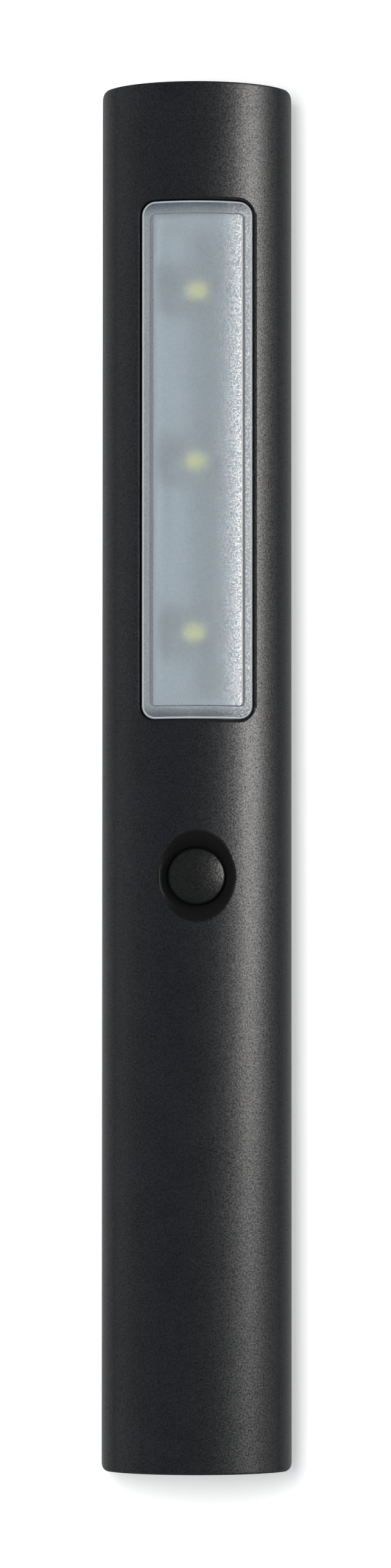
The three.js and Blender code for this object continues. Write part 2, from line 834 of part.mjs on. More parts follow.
// Pan-head screw along +Z, its head below the origin, with a cross recess
function screw(headHeight, threadLength) {
  const head = headDiameter / 2;
  const thread = threadDiameter / 2;
  const body = turned([
    [0, -headHeight],
    [head - headRound, -headHeight],
    [head, headRound - headHeight],
    [head, 0],
    [thread, 0],
    [thread, threadLength - thread],
    [0, threadLength],
  ]);
  const long = [-crossLength / 2, crossLength / 2];
  const narrow = [-crossWidth / 2, crossWidth / 2];
  const depth = [-headHeight - past, -headHeight + crossDepth];
  return cut(body, [box(long, narrow, depth), box(narrow, long, depth)]);
}

// Finishes
const blackAbs = finish(0x29292b, 0.52);
const buttonAbs = finish(0x222322, 0.45);
const frosted = finish(0xb4bec2, 0.6);
const boardWhite = finish(0x8c9194, 0.5);
const trayWhite = finish(0xbcc0c2, 0.45);
const ledWhite = finish(0xf0eedc, 0.4);
const resistorBlack = finish(0x1c1c1e, 0.5);
const epoxyBlack = finish(0x202124, 0.6);
const ferrite = finish(0x34322f, 0.7);
const switchBlack = finish(0x18181a, 0.5);
const switchSteel = finish(0xb9bcc0, 0.35, 1);
const plungerWhite = finish(0xdddcd6, 0.5);
const cellJacket = finish(0x3c5a78, 0.35);
const nickel = finish(0xc6c7c4, 0.3, 1);
const springSteel = finish(0xb8bbbd, 0.3, 1);
const redPvc = finish(0xa51f1c, 0.5);
const blackPvc = finish(0x1b1b1c, 0.5);
const zincSteel = finish(0x9b9da0, 0.4, 1);

// Housing
const housing = new THREE.Group();
housing.add(piece('front_shell', frontShell(), blackAbs));
housing.add(piece('lens', lens(), frosted));
housing.add(piece('back_cover', backCover(), blackAbs.clone()));
housing.add(piece('battery_door', batteryDoor(), blackAbs.clone()));

// Lamp: the board, and what stands on its upper face
const lamp = new THREE.Group();
lamp.add(piece('main_board', mainBoard(), boardWhite));
lamp.add(piece('reflector', reflectorTray(), trayWhite));
const onBoard = boardTop + seatGap;
const resistorStep = ledWidth / 2 + resistorGap + resistorWidth / 2;
for (let i = 0; i < ledCount; i += 1) {
  const x = ledStart - i * ledDrift;
  const y = lensTop - firstLed - i * ledPitch;
  lamp.add(piece(`led_${i + 1}`, ledPackage(), ledWhite.clone(), x, y, onBoard));
  const resistor = piece(`resistor_${i + 1}`, chipResistor(), resistorBlack.clone());
  resistor.position.set(x - resistorStep, y - resistorDrop, onBoard);
  lamp.add(resistor);
}
const driverY = (boardPostYs[1] - postRadius + buttonY + switchHalf) / 2;
lamp.add(piece('driver_chip', driverChip(), epoxyBlack, driverX, driverY, onBoard));
lamp.add(piece('inductor', drumInductor(), ferrite, -driverX, driverY, onBoard));

// Button and switch, on the axis of the recess
const pushSwitch = new THREE.Group();
pushSwitch.position.set(0, buttonY, 0);
pushSwitch.add(piece('switch_body', switchBody(), switchBlack, 0, 0, switchBottom));
pushSwitch.add(piece('switch_cover', switchCover(), switchSteel, 0, 0, switchBottom));
pushSwitch.add(piece('switch_plunger', switchPlunger(), plungerWhite, 0, 0, capBottom));
pushSwitch.add(piece('button_cap', buttonCap(), buttonAbs, 0, 0, capBottom));

// Battery bay: the cells lie side by side, one turned round
const bay = new THREE.Group();
const cellOne = piece('battery_1', cell(), cellJacket);
cellOne.position.set(-cellX, headFace - seatGap - cellLength, cellZ);
const cellTwo = piece('battery_2', cell(), cellJacket.clone());
cellTwo.position.set(cellX, bridgeFace + seatGap + cellLength, cellZ);
cellTwo.rotation.z = Math.PI;
bay.add(cellOne, cellTwo);
bay.add(piece('contact_positive', headContact(-1), nickel));
bay.add(piece('contact_negative', headContact(1), nickel.clone()));
bay.add(piece('contact_bridge', bridgeContact(), nickel.clone()));
const springTwo = piece('spring_negative', contactSpring(), springSteel, cellX, headFace - seatGap, cellZ);
springTwo.rotation.z = Math.PI;
bay.add(springTwo);
bay.add(piece('spring_bridge', contactSpring(), springSteel.clone(), -cellX, bridgeFace + seatGap, cellZ));
bay.add(piece('wire_positive', leadWire(-1), redPvc));
bay.add(piece('wire_negative', leadWire(1), blackPvc));

// Screws: four through the cover, two through the board
const screws = new THREE.Group();
let screwNumber = 0;
coverPostYs.forEach((y) => {
  bothSides.forEach((side) => {
    screwNumber += 1;
    const body = screw(coverHead, coverThread);
    const mesh = piece(`cover_screw_${screwNumber}`, body, zincSteel.clone());
    mesh.position.set(side * coverPostX, y, counterbore - seatGap);
    screws.add(mesh);
  });
});
boardPostYs.forEach((y, i) => {
  const body = screw(boardHead, boardThread);
  screws.add(piece(`board_screw_${i + 1}`, body, zincSteel.clone(), 0, y, boardBottom - seatGap));
});

const flashlight = new THREE.Group();
flashlight.add(housing, lamp, pushSwitch, bay, screws);

export default flashlight;
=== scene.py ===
import math

import bmesh
import bpy
from mathutils import Matrix, Vector


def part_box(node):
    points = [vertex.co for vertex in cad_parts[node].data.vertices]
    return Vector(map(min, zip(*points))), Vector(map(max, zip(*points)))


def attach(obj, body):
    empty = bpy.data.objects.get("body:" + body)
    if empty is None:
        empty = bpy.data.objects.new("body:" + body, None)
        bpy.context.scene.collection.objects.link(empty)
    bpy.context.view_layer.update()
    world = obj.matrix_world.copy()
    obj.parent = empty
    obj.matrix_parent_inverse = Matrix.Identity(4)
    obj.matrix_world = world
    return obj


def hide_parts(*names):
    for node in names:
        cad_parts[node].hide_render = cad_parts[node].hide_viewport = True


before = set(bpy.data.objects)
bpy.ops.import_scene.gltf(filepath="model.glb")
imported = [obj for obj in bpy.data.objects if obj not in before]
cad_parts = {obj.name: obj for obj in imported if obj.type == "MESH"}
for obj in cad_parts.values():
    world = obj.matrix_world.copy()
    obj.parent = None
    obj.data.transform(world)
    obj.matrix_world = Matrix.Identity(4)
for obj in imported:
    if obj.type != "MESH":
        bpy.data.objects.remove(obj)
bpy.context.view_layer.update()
mm = 0.001
print("frame:", len(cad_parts), "nodes")

# places that the looks hang on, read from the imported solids
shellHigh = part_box("front_shell")[1]
lensLow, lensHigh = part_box("lens")
capLow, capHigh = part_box("button_cap")
bodyRadius = shellHigh.x
springLine = shellHigh.z - bodyRadius  # where the half round starts
buttonY = (capLow.y + capHigh.y) / 2

noiseCore = (0.3, 0.7)  # where most values of a noise lie
noiseWide = (0.25, 0.75)


def linear(colour):  # sRGB hex to linear
    parts = [int(colour[i:i + 2], 16) / 255 for i in (0, 2, 4)]
    return [c / 12.92 if c <= 0.04045 else ((c + 0.055) / 1.055) ** 2.4 for c in parts] + [1]


def addNode(tree, kind, inputs=None, **settings):  # one node, with its settings and links
    made = tree.nodes.new("ShaderNode" + kind)
    for name, value in settings.items():
        setattr(made, name, value)
    for name, value in (inputs or {}).items():
        if isinstance(value, bpy.types.NodeSocket):
            tree.links.new(value, made.inputs[name])
        else:
            made.inputs[name].default_value = value
    return made


def mapped(tree, value, start, stop, low=0, high=1, **settings):  # a value carried from one span to another
    return addNode(tree, "MapRange", {0: value, 1: start, 2: stop, 3: low, 4: high}, **settings).outputs[0]


def mixed(tree, share, first, second, **settings):  # from the first colour at 0 to the second at 1
    return addNode(tree, "Mix", {0: share, 6: first, 7: second}, data_type="RGBA", **settings).outputs[2]


def worked(tree, operation, *values):  # plain arithmetic
    return addNode(tree, "Math", dict(enumerate(values)), operation=operation).outputs[0]


def grain(tree, place, size, detail=3, fine=0.5):  # noise with features of about the given size
    inputs = {"Vector": place, "Scale": 1 / size, "Detail": detail, "Roughness": fine}
    return addNode(tree, "TexNoise", inputs).outputs[0]


def newMaterial(name):
    material = bpy.data.materials.new(name)
    material.use_nodes = True
    tree = material.node_tree
    tree.nodes.clear()
    output = addNode(tree, "OutputMaterial")
    place = addNode(tree, "TexCoord").outputs["Object"]
    return material, tree, output, place


# moulded ABS, spark-eroded mould: a dense fine grit that breaks the highlight into sparkle
# the grit is drawn coarser than the real one so that it shows, and steep sides lose most of their gloss to it
shellLook = {
    "dark": "050607", "light": "212327", "speck": (0.2, 0.5), "blotch": 6 * mm, "cloud": (0.36, 0.5),
    "grit": 0.24 * mm, "fine": 0.85, "depth": 0.03 * mm, "rough": (0.36, 0.46), "ior": 1.4,
    "steep": (0.14, 0.5), "gloss": (0.43, 0.075), "sparkle": (0.05, 2)}
# a duller copy of the shell's ABS, as painted shade in the countersink and on the window's right chamfer
recessShadeLook = dict(shellLook, dark="111111", light="20201f", gloss=(0.12, 0.05))  # dull in the countersink
buttonLook = dict(
    shellLook, dark="0f1010", light="191a1a", grit=0.3 * mm, fine=0.6, depth=0.06 * mm,
    rough=(0.36, 0.5), ior=1.33, gloss=(0.5, 0.08), sparkle=(0.5, 1.5))


def mouldedAbs(name, look):
    material, tree, output, place = newMaterial(name)
    grit = grain(tree, place, look["grit"], 3, look["fine"])
    blotch = grain(tree, place, look["blotch"], 4)
    speck = mapped(tree, grit, *noiseCore, *look["speck"])
    cloud = mapped(tree, blotch, *noiseCore, *look["cloud"])
    shade = worked(tree, "MULTIPLY_ADD", speck, cloud, cloud)
    colour = mixed(tree, shade, linear(look["dark"]), linear(look["light"]))
    rough = mapped(tree, grit, *noiseWide, *look["rough"])
    bump = addNode(tree, "Bump", {"Height": grit, "Strength": 1, "Distance": look["depth"]})
    steep = addNode(tree, "LayerWeight", {"Blend": 0.5}).outputs["Facing"]
    gloss = mapped(tree, steep, *look["steep"], *look["gloss"])
    sparkle = mapped(tree, grit, *noiseCore, *look["sparkle"])
    shader = addNode(tree, "BsdfPrincipled", {
        "Base Color": colour, "Roughness": rough, "IOR": look["ior"],
        "Specular IOR Level": worked(tree, "MULTIPLY", gloss, sparkle), "Normal": bump.outputs[0]})
    tree.links.new(shader.outputs[0], output.inputs[0])
    return material


# polycarbonate lens: a milky matt border that glints, a clearer panel that shows the LEDs softly,
# a dull grey step tinted as a painted shade line, and a whiter rim as a painted light line
# the matt skin is the coat, broken up by a grit drawn coarser than real, and the low IOR under it keeps
# what is behind blurred but in place; the border's ends, head and foot, are tinted darker as a painted shade
# of the pocket
borderLook = {
    "tint": "edf9ff", "ends": ("95a3b2", "9eaab6"), "dusk": (2 * mm, 0.5 * mm), "mottle": 0.36,
    "through": 0.58, "lamps": 0.3, "rough": (0.4, 0.5), "ior": 1.2,
    "coat": (0, 1), "glint": (0.47, 0.66), "film": 1.6, "skin": 0.36,
    "grit": 0.28 * mm, "fine": 0.85, "depth": 0.06 * mm}
panelLook = dict(
    borderLook, tint="e9f7ff", ends=None, mottle=0.16, through=0.74, lamps=0.13, rough=(0.54, 0.64),
    glint=(0.44, 0.56), film=1.84, skin=0.35, depth=0.04 * mm)
# the step is tinted dark grey: a painted shade line round the panel
stepLook = dict(
    borderLook, tint="a0a2a7", ends=None, mottle=0.1, through=0.5, rough=(0.25, 0.35),
    coat=(0.3, 0.45), film=1.45, skin=0.3, depth=0.003 * mm)
# the rim is whiter and less clear than the border: a painted light line all round
rimLook = dict(
    borderLook, tint="f2f8fc", ends=None, mottle=0.1, through=0.3,
    coat=(0.15, 0.25), film=1.45, skin=0.3, depth=0.003 * mm)
innerLook = dict(borderLook, tint="ffffff", ends=None, mottle=0, through=1, lamps=1, rough=(0.31, 0.41),
                 coat=None)


def lensPlastic(name, look):
    material, tree, output, place = newMaterial(name)
    grit = grain(tree, place, look["grit"], 3, look["fine"])
    rough = mapped(tree, grit, *noiseWide, *look["rough"])
    bump = addNode(tree, "Bump", {"Height": grit, "Strength": 1, "Distance": look["depth"]})
    coat = mapped(tree, grit, *look["glint"], *look["coat"]) if look["coat"] else 0
    colour = linear(look["tint"])
    # painted shade of the pocket: darker towards the head and the foot
    if look["ends"]:
        start, full = look["dusk"]
        along = addNode(tree, "SeparateXYZ", {0: place}).outputs[1]
        head = mapped(tree, along, lensHigh.y - start, lensHigh.y - full)
        foot = mapped(tree, along, lensLow.y + start, lensLow.y + full)
        colour = mixed(tree, head, colour, linear(look["ends"][0]))
        colour = mixed(tree, foot, colour, linear(look["ends"][1]))
    if look["mottle"]:
        mottle = mapped(tree, grit, *noiseCore, 1 - look["mottle"], 1)
        colour = mixed(tree, 1, colour, mottle, blend_type="MULTIPLY")
    shader = addNode(tree, "BsdfPrincipled", {
        "Base Color": colour, "Roughness": rough, "IOR": look["ior"], "Transmission Weight": look["through"],
        "Coat Weight": coat, "Coat Roughness": look["skin"], "Coat IOR": look["film"],
        "Coat Normal": bump.outputs[0]})
    dimmed = [c * look["lamps"] for c in linear(look["tint"])[:3]] + [1]
    passed = addNode(tree, "BsdfTransparent", {"Color": dimmed})
    lit = addNode(tree, "LightPath").outputs["Is Shadow Ray"]  # lamps reach what is behind
    both = addNode(tree, "MixShader", {0: lit, 1: shader.outputs[0], 2: passed.outputs[0]})
    tree.links.new(both.outputs[0], output.inputs[0])
    return material


# painted shade round each LED, and a painted tone of light and shade towards the left wall
def paintLedShade(tree, place, colour, shade):  # darker round each LED, and another tone towards the left wall
    x, y = addNode(tree, "SeparateXYZ", {0: place}).outputs[:2]
    half = shade["pitch"] / 2
    along = worked(tree, "WRAP", y, shade["middle"] + half, shade["middle"] - half)
    along = worked(tree, "SUBTRACT", along, shade["middle"])
    across = worked(tree, "MAXIMUM", x, worked(tree, "MULTIPLY", x, shade["left"]))
    flat = addNode(tree, "CombineXYZ", {0: across, 1: along}).outputs[0]
    away = addNode(tree, "VectorMath", {0: flat}, operation="LENGTH").outputs["Value"]
    clear = mapped(tree, away, *shade["reach"], interpolation_type="SMOOTHSTEP")
    paintedWallTone = mapped(tree, x, 0, shade["wall"])
    colour = mixed(tree, paintedWallTone, colour, linear(shade["paintedWallTone"]))
    return mixed(tree, clear, linear(shade["colour"]), colour)


# moulded, cast or coated plastics inside: a faint cloud in the colour and the gloss,
# and a painted shade round the LEDs with a painted tone towards the left wall, where one is given
plainSet = {"swing": 0.06, "ior": 1.5}


def plainPlastic(name, dark, light, rough, cloud=1.5 * mm, shade=None):
    material, tree, output, place = newMaterial(name)
    noise = grain(tree, place, cloud)
    colour = mixed(tree, noise, linear(dark), linear(light))
    if shade:
        colour = paintLedShade(tree, place, colour, shade)
    gloss = mapped(tree, noise, *noiseWide, rough - plainSet["swing"], rough + plainSet["swing"])
    shader = addNode(tree, "BsdfPrincipled", {
        "Base Color": colour, "Roughness": gloss, "IOR": plainSet["ior"]})
    tree.links.new(shader.outputs[0], output.inputs[0])
    return material


# silicone with yellow phosphor, cast in each LED: an oval yellow spot, greyer where it thins out at its rim
phosphorSet = {
    "core": ("ffe94e", "fff57e"), "rim": "9a9c8e", "cloud": 0.3 * mm, "half": (1.4 * mm, 1.1 * mm),
    "fade": (0.75, 1.15), "rough": 0.5, "ior": 1.41}


def castPhosphor(name, centre):
    s = phosphorSet
    material, tree, output, place = newMaterial(name)
    core = mixed(tree, grain(tree, place, s["cloud"]), linear(s["core"][0]), linear(s["core"][1]))
    offset = addNode(tree, "VectorMath", {0: place, 1: centre}, operation="SUBTRACT").outputs[0]
    inHalves = (1 / s["half"][0], 1 / s["half"][1], 0)
    oval = addNode(tree, "VectorMath", {0: offset, 1: inHalves}, operation="MULTIPLY").outputs[0]
    away = addNode(tree, "VectorMath", {0: oval}, operation="LENGTH").outputs["Value"]
    thin = mapped(tree, away, *s["fade"], interpolation_type="SMOOTHSTEP")
    colour = mixed(tree, thin, core, linear(s["rim"]))
    shader = addNode(tree, "BsdfPrincipled", {"Base Color": colour, "Roughness": s["rough"], "IOR": s["ior"]})
    tree.links.new(shader.outputs[0], output.inputs[0])
    return material


# plated metal: bright, with faint rolling or drawing marks along one way, drawn coarser than real
metalSet = {"marks": 0.25 * mm, "fine": 0.6, "swing": 0.08}


def platedMetal(name, dark, light, rough, stretch=(1, 1, 0.1)):
    material, tree, output, place = newMaterial(name)
    drawn = addNode(tree, "Mapping", {"Vector": place, "Scale": stretch}).outputs[0]
    marks = grain(tree, drawn, metalSet["marks"], 4, metalSet["fine"])
    colour = mixed(tree, marks, linear(dark), linear(light))
    gloss = mapped(tree, marks, *noiseWide, rough - metalSet["swing"], rough + metalSet["swing"])
    shader = addNode(tree, "BsdfPrincipled", {"Base Color": colour, "Metallic": 1, "Roughness": gloss})
    tree.links.new(shader.outputs[0], output.inputs[0])
    return material


shellAbs = mouldedAbs("ABS, spark-eroded mould", shellLook)
shadeAbs = mouldedAbs("ABS, dull, in painted shade", recessShadeLook)
buttonAbs = mouldedAbs("ABS, finer spark-eroded mould", buttonLook)
lensBorder = lensPlastic("polycarbonate, moulded matt", borderLook)
lensPanel = lensPlastic("polycarbonate, moulded fine matt", panelLook)
lensStep = lensPlastic("polycarbonate, step tinted dark as a painted shade line", stepLook)
lensRim = lensPlastic("polycarbonate, rim with a painted light line", rimLook)
lensInner = lensPlastic("polycarbonate, polished", innerLook)
# painted shade round each LED on the board and the tray; towards the left wall, painted light on the board
# and painted shade on the tray
# round each LED and on to the left of it the photograph is darker
ledPlaces = [sum(corner.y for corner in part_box("led_" + number)) / 2 for number in "123"]
ledShade = {
    "middle": ledPlaces[1], "pitch": abs(ledPlaces[1] - ledPlaces[0]), "left": 0.3, "wall": -4.2 * mm,
    "reach": (2 * mm, 5 * mm), "colour": "5c6063", "paintedWallTone": "b0b5b8"}
trayShade = dict(ledShade, colour="8e9294", paintedWallTone="bcc0c2")
boardMask = plainPlastic("solder mask, screen printed grey", "5e6366", "6d7275", 0.4, shade=ledShade)
trayPlastic = plainPlastic("polycarbonate, moulded greyish white", "cdd1d3", "d8dbdd", 0.42, shade=trayShade)
# the tray's top faces, nearest the lens and lit most, are coloured darker grey as a painted shade
trayTopShade = plainPlastic("polycarbonate, top in painted shade", "84888a", "929698", 0.5)
ledNylon = plainPlastic("nylon, moulded pale grey", "8a8e90", "989c9e", 0.4)
overglaze = plainPlastic("resistor overglaze, printed black", "18181a", "222224", 0.35, 0.4 * mm)
chipEpoxy = plainPlastic("epoxy, moulded black", "1c1d20", "26272a", 0.55, 0.4 * mm)
ferrite = plainPlastic("ferrite, sintered", "2d2b28", "3b3936", 0.7, 0.3 * mm)
switchNylon = plainPlastic("nylon, moulded black", "151517", "1d1d1f", 0.5)
acetal = plainPlastic("acetal, moulded white", "d8d7d0", "e2e1da", 0.45)
redVinyl = plainPlastic("PVC insulation, red", "9a1a18", "ad2421", 0.45, 0.6 * mm)
blackVinyl = plainPlastic("PVC insulation, black", "19191a", "222223", 0.45, 0.6 * mm)
cellSleeve = plainPlastic("PVC sleeve, shrunk on", "35506c", "42648a", 0.28, 6 * mm)
nickelSheet = platedMetal("spring steel, nickel plated", "b9bab6", "d2d3d0", 0.28)
musicWire = platedMetal("music wire, nickel plated", "a9acae", "c6c9cb", 0.25)
tinnedSteel = platedMetal("steel, tinned", "b0b3b7", "c6c9cd", 0.35)
copperWire = platedMetal("copper wire, enamelled", "a4552c", "bb6a3a", 0.3)
zincSteel = platedMetal("steel, zinc plated", "8f9194", "a9abae", 0.38, (1, 1, 1))
print("materials:", len(bpy.data.materials))

meshSet = {"weld": 0.004 * mm, "flat": 0.3, "cut": 0.0005 * mm, "join": 0.001 * mm}  # flat in degrees


def mergedCopy(name, weld=meshSet["weld"]):  # a CAD solid as welded flat-sided faces
    bm = bmesh.new()
    bm.from_mesh(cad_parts[name].data)
    bmesh.ops.remove_doubles(bm, verts=bm.verts, dist=weld)
    bmesh.ops.dissolve_limit(bm, angle_limit=math.radians(meshSet["flat"]), verts=bm.verts, edges=bm.edges)
    return bm


def sharpEdges(bm, limit):
    return [e for e in bm.edges if len(e.link_faces) == 2 and e.calc_face_angle(0) > math.radians(limit)]


def smoothed(bm, limit=40):  # smooth faces, edges sharper than the limit stay crisp
    for face in bm.faces:
        face.smooth = True
    for edge in bm.edges:
        edge.smooth = len(edge.link_faces) == 2 and edge.calc_face_angle(0) < math.radians(limit)


def roundEdges(bm, edges, width, segments, clamp=True):
    bmesh.ops.bevel(bm, geom=edges, offset=width, affect="EDGES", segments=segments, profile=0.5,
                    material=-1, clamp_overlap=clamp)


def cutThrough(bm, point, normal):  # new edges where a plane meets the faces
    everything = bm.verts[:] + bm.edges[:] + bm.faces[:]
    bmesh.ops.bisect_plane(bm, geom=everything, dist=meshSet["cut"], plane_co=point, plane_no=normal)


def settled(bm, name, body, materials, slot, *nodes):  # a finished piece, riding on its body
    mesh = bpy.data.meshes.new(name)
    bm.to_mesh(mesh)
    bm.free()
    for material in materials:
        mesh.materials.append(material)
    piece = bpy.data.objects.new(name, mesh)
    bpy.context.scene.collection.objects.link(piece)
    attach(piece, body)
    if nodes:
        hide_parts(*nodes)
    return piece


def flatNormals(piece):  # normals that keep wide faces flat beside their broken edges
    piece.modifiers.new("flat", "WEIGHTED_NORMAL").keep_sharp = True
    flat = piece.evaluated_get(bpy.context.evaluated_depsgraph_get()).data
    normals = [Vector(n.vector) for n in flat.corner_normals]
    piece.modifiers.clear()
    return normals


def outwardFrom(point):  # away from the axis of the half round, and level below it
    return Vector((point.x, 0, max(point.z - springLine, 0))).normalized()


def bendNormals(piece, follows):  # true round normals where follows gives 1 for outside or -1 for inside
    mesh = piece.data
    normals = flatNormals(piece)
    for face in mesh.polygons:
        facing = follows(face)
        if facing:
            for loop in face.loop_indices:
                normals[loop] = outwardFrom(mesh.vertices[mesh.loops[loop].vertex_index].co) * facing
    mesh.normals_split_custom_set(normals)


# front shell: the solid's own form, window edge chamfered, recess rim rounded, crown truly round
shellSet = {
    "weld": 0.012 * mm, "near": 0.02 * mm, "loose": 0.06 * mm, "margin": 1 * mm, "crease": 20,
    "rim": 0.3 * mm, "reach": 2 * mm, "shade": 0.28 * mm, "ramp": 2, "outer": 7.8 * mm,  # window
    "recess": 0.3 * mm, "band": 8 * mm, "slack": 0.01 * mm, "ridge": (4.99 * mm, 5.6 * mm),
    # which faces take the painted shade
    "sunk": (6.5 * mm, 9.5 * mm), "deep": 0.4 * mm, "tilt": 0.3, "crowned": 0.9,  # dull parts
    "round": 0.99}  # crown


def overCrown(point):  # distance from the shell's round surface
    return abs(math.hypot(point.x, max(point.z - springLine, 0)) - bodyRadius)


def besideRecess(vert):  # on the facet lines that run along the crown there
    s = shellSet
    along = overCrown(vert.co) < s["near"] and abs(vert.co.y - buttonY) < s["band"] + s["slack"]
    return along and s["ridge"][0] < abs(vert.co.x) < s["ridge"][1]


# faces in painted shade: in the countersink, and on the window's chamfer at the right
def inPaintedShade(face):  # in the countersink, or on the window's chamfer at the right
    s = shellSet
    at = face.calc_center_median()
    crowned = face.normal.dot(outwardFrom(at)) > s["crowned"]
    sunk = math.hypot(at.x, at.y - buttonY) < s["sunk"][0] and at.z > springLine + s["sunk"][1]
    chamfer = at.x > lensHigh.x and face.normal.z > s["tilt"] and overCrown(at) < s["deep"]
    return (sunk or chamfer and lensLow.y < at.y < lensHigh.y) and not crowned


def onCrown(face):
    near = overCrown(face.center) < shellSet["loose"] and face.center.z > springLine - shellSet["margin"]
    return 1 if near and face.normal.dot(outwardFrom(face.center)) > shellSet["round"] else 0


def frontShell():
    s = shellSet
    bm = mergedCopy("front_shell", s["weld"])
    for side in (-1, 1):  # a band round the recess, with room for its rounded rim
        cutThrough(bm, (0, buttonY + side * s["band"], 0), (0, 1, 0))
    ridges = [e for e in bm.edges if all(besideRecess(v) for v in e.verts)]
    straight = [e for e in ridges if abs(e.verts[0].co.x - e.verts[1].co.x) < meshSet["join"]]
    bmesh.ops.dissolve_edges(bm, edges=straight)
    crown = {v for v in bm.verts if overCrown(v.co) < s["near"] and v.co.z > springLine}
    rims = [e for e in sharpEdges(bm, s["crease"]) if set(e.verts) <= crown]
    window = [e for e in rims if lensLow.y - s["reach"] < e.verts[0].co.y < lensHigh.y + s["reach"]]
    recess = [e for e in rims if abs(e.verts[0].co.y - buttonY) < s["band"] - s["margin"]]
    roundEdges(bm, window, s["rim"], 1, False)
    for vert in bm.verts:  # the chamfer is wider at the right
        past = (vert.co.x - lensHigh.x - s["rim"]) / s["rim"]
        beside = lensLow.y - s["margin"] < vert.co.y < lensHigh.y + s["margin"] and vert.co.x < s["outer"]
        if past > 0 and beside and overCrown(vert.co) < s["near"]:
            vert.co.x += s["shade"] * min(past * s["ramp"], 1)
            vert.co.z = springLine + math.sqrt(bodyRadius ** 2 - vert.co.x ** 2)
    roundEdges(bm, [e for e in recess if e.is_valid], s["recess"], 4, False)
    # faces in the countersink and on the right chamfer take the duller copy, as painted shade
    for face in bm.faces:
        face.material_index = 1 if inPaintedShade(face) else 0
    smoothed(bm)
    piece = settled(bm, "shellMoulded", "body", [shellAbs, shadeAbs], "black_abs", "front_shell")
    bendNormals(piece, onCrown)
    return len(window), len(recess)


print("shell rims:", frontShell())

# pieces that keep the solid's own form: edges broken, second finish where pick says so
dressSet = {"limit": 60, "segments": 2}
pickSet = {
    "level": 0.9, "trayLip": 0.9 * mm, "window": 0.05 * mm, "resistorCap": 0.44 * mm, "chipLeg": 0.82 * mm}


def dressedCopy(name, body, slot, materials, width, pick=None):
    bm = mergedCopy(name)
    for face in bm.faces:
        face.material_index = 1 if pick and pick(face) else 0
    roundEdges(bm, [e for e in sharpEdges(bm, dressSet["limit"]) if e.is_convex], width, dressSet["segments"])
    smoothed(bm)
    piece = settled(bm, name + ".made", body, materials, slot, name)
    piece.data.normals_split_custom_set(flatNormals(piece))


def levelFace(low, high):  # picks faces that look up, between two heights
    return lambda face: face.normal.z > pickSet["level"] and low < face.calc_center_median().z < high


def endFace(name, reach):  # picks faces further than that along Y from the middle of the node
    low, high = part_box(name)
    return lambda face: abs(face.calc_center_median().y - (low.y + high.y) / 2) > reach


dressedCopy("back_cover", "body", "black_abs", [shellAbs], 0.08 * mm)
dressedCopy("battery_door", "door", "black_abs", [shellAbs], 0.08 * mm)
dressedCopy("main_board", "body", "white_board", [boardMask], 0.05 * mm)
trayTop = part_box("reflector")[1].z
dressedCopy("reflector", "body", "white_tray", [trayPlastic, trayTopShade], 0.08 * mm,
            levelFace(trayTop - pickSet["trayLip"], math.inf))
dressedCopy("switch_body", "body", "switch_plastic", [switchNylon], 0.1 * mm)
dressedCopy("switch_cover", "body", "switch_steel", [tinnedSteel], 0.05 * mm)
dressedCopy("switch_plunger", "button", "plunger_plastic", [acetal], 0.1 * mm)
for name in ("contact_positive", "contact_negative", "contact_bridge"):
    dressedCopy(name, "body", "nickel_contact", [nickelSheet], 0.06 * mm)
for name in ("cover_screw_1", "cover_screw_2", "cover_screw_3", "cover_screw_4",
             "board_screw_1", "board_screw_2"):
    dressedCopy(name, "body", "zinc_screw", [zincSteel], 0.05 * mm)

# LEDs with a cast window, resistors with tinned caps, chip with tinned legs
for number in ("1", "2", "3"):
    ledLow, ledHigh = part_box("led_" + number)
    phosphor = castPhosphor("silicone with yellow phosphor, cast in LED " + number, (ledLow + ledHigh) / 2)
    dressedCopy("led_" + number, "body", "led_package", [ledNylon, phosphor], 0.06 * mm,
                levelFace(-math.inf, ledHigh.z - pickSet["window"]))
    dressedCopy("resistor_" + number, "body", "resistor", [overglaze, tinnedSteel], 0.04 * mm,
                endFace("resistor_" + number, pickSet["resistorCap"]))
dressedCopy("driver_chip", "body", "chip_epoxy", [chipEpoxy, tinnedSteel], 0.04 * mm,
            endFace("driver_chip", pickSet["chipLeg"]))
print("carried-over forms dressed")

# lens: cut flat with a rounded rim and a raised panel, then bent onto the half round
onBorder, onPanel, onStep, onInner, onRim = range(5)  # its materials, in order
lensSet = {
    "sink": 0.3 * mm, "thick": 1.3 * mm, "right": 0.1 * mm, "corner": 1.75 * mm, "cornerSteps": 10,
    "rim": 0.25 * mm, "rimTurns": (0, 30, 60), "rimTurn": 30, "side": 1.46 * mm, "end": 2.15 * mm,
    "slope": 0.58 * mm, "rise": 0.25 * mm, "short": 0.67, "strip": 0.5 * mm, "level": 0.9, "follows": 0.999,
    # soft step up to the panel: shares of the slope and of the rise, and the material
    "rings": ((0.2, 0.05, onBorder), (0.3, 0.45, onStep), (0.3, 0.42, onStep), (0.25, 0.08, onStep))}


def stepIn(bm, top, inward, up, look):  # one ring round the top, inward and up
    ring = bmesh.ops.inset_region(bm, faces=top, thickness=inward, depth=up,
                                  use_even_offset=True, use_boundary=True)
    for face in ring["faces"]:
        face.material_index = look


def onBend(face):  # border, panel and inner side follow the half round
    facing = face.normal.dot(outwardFrom(face.center))
    return math.copysign(1, facing) if abs(facing) > lensSet["follows"] else 0


